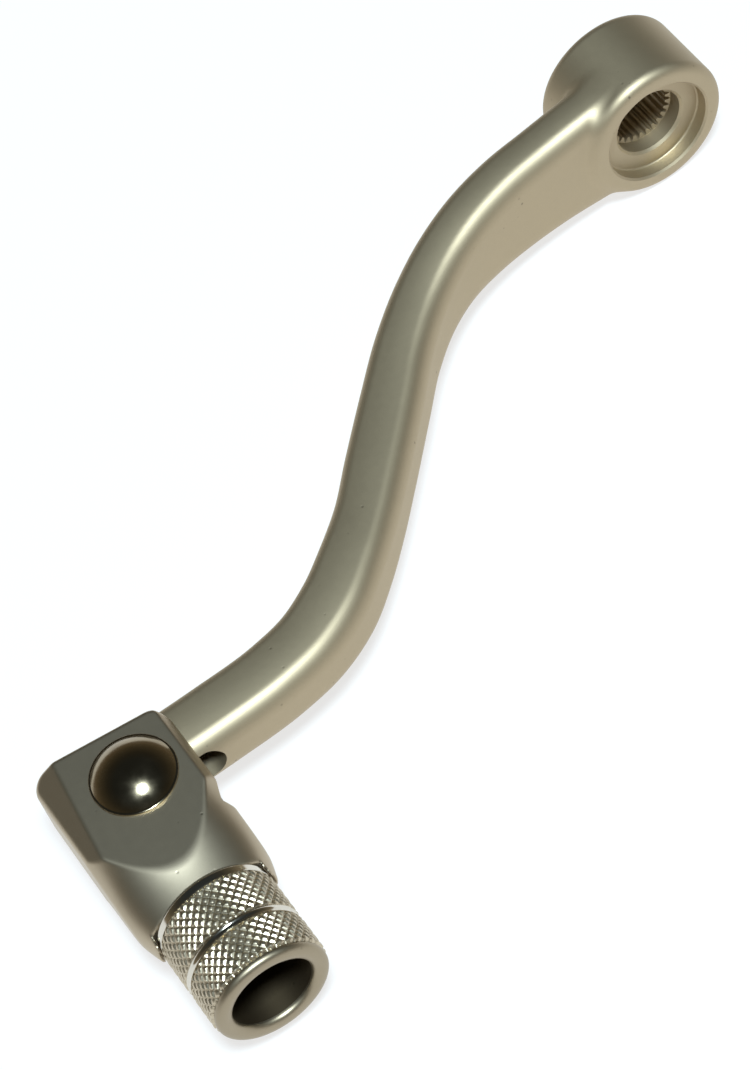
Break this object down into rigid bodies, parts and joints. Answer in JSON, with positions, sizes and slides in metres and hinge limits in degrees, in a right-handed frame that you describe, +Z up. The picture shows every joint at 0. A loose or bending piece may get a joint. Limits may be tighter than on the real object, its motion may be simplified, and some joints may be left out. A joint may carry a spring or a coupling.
{
  "type": "gear shift lever",
  "caption": "Forged motorcycle gear shift lever with a splined hub, an S-bent arm and a spring-loaded folding tip that carries a knurled toe peg.",
  "frame": {"origin": "centre of the splined hub, half way along its length, on the axis of the shift shaft", "axes": "shift shaft and toe peg along Y with -Y outboard (the peg side), arm reaching forward along -X, +Z up; the tip's rivet is parallel to Z"},
  "size_m": [0.1664, 0.1142, 0.027],
  "materials": {
    "forged_aluminium": "satin, fine bead-blasted forging",
    "tip_aluminium": "satin, fine bead-blasted forging",
    "chrome_plate": "bright chrome plate over steel, diamond knurl",
    "collar_aluminium": "satin turned lip",
    "rivet_steel": "polished dome",
    "bushing_brass": "turned",
    "spring_steel": "drawn wire",
    "washer_steel": "zinc-plated flat washer"
  },
  "bodies": {
    "lever": {"lever_arm": "forged_aluminium", "torsion_spring": "spring_steel"},
    "tip": {"tip_body": "tip_aluminium", "knurled_sleeve": "chrome_plate", "end_collar": "collar_aluminium", "pivot_rivet": "rivet_steel", "pivot_bushing": "bushing_brass", "rivet_washer": "washer_steel"}
  },
  "joints": [
    {"name": "tip_fold", "type": "hinge", "parent": "lever", "child": "tip", "pos_m": [-0.1387, -0.0631, 0], "axis": [0, 0, 1], "range_deg": [0, 45], "stiffness_Nm_per_rad": 0.25, "springref_deg": -51.57, "deforming": ["torsion_spring"]}
  ]
}
